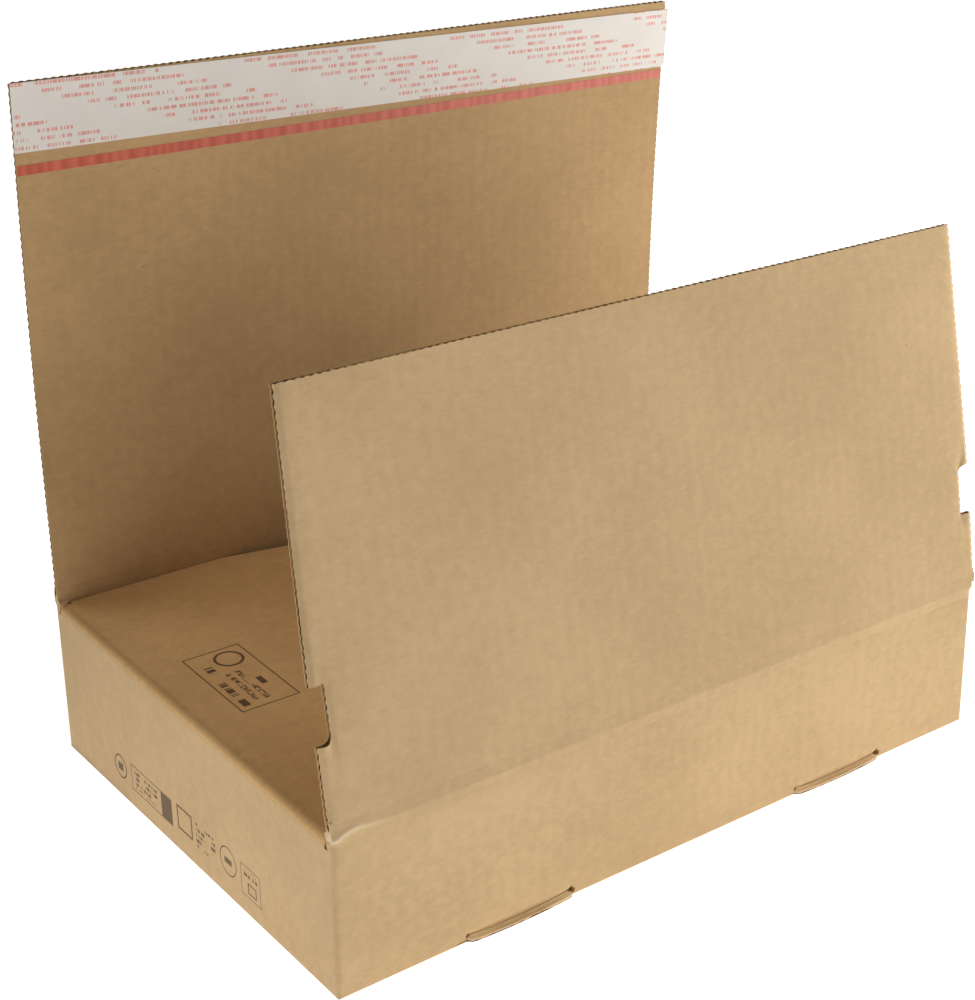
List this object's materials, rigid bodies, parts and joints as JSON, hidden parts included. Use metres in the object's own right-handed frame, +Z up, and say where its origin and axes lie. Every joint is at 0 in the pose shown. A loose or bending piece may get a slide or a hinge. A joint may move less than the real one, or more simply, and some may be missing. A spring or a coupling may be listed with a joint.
{
  "type": "corrugated mailer box",
  "caption": "Open corrugated mailer box with a crash-lock bottom, side flaps, hinged front flap and lid, and a self-seal strip.",
  "frame": {"origin": "middle of the underside of the box, on the surface that it stands on", "axes": "+X along the front from left to right, +Y from front to back, +Z up"},
  "size_m": [0.3354, 0.2242, 0.2963],
  "materials": {
    "kraft_board": "matt",
    "liner_paper": "satin",
    "adhesive": "satin",
    "red_tape": "matt"
  },
  "bodies": {
    "carton": {"carton_body": "kraft_board"},
    "front_flap": {"front_flap": "kraft_board"},
    "lid": {"lid": "kraft_board", "adhesive_band": "adhesive", "release_liner": "liner_paper", "tear_tape": "red_tape"}
  },
  "joints": [
    {"name": "front_flap_fold", "type": "hinge", "parent": "carton", "child": "front_flap", "pos_m": [0, -0.11175, 0.07035], "axis": [-1, 0, 0], "range_deg": [-126.5, 77.5]},
    {"name": "lid_fold", "type": "hinge", "parent": "carton", "child": "lid", "pos_m": [0, 0.11175, 0.07405], "axis": [1, 0, 0], "range_deg": [-110, 62]}
  ]
}
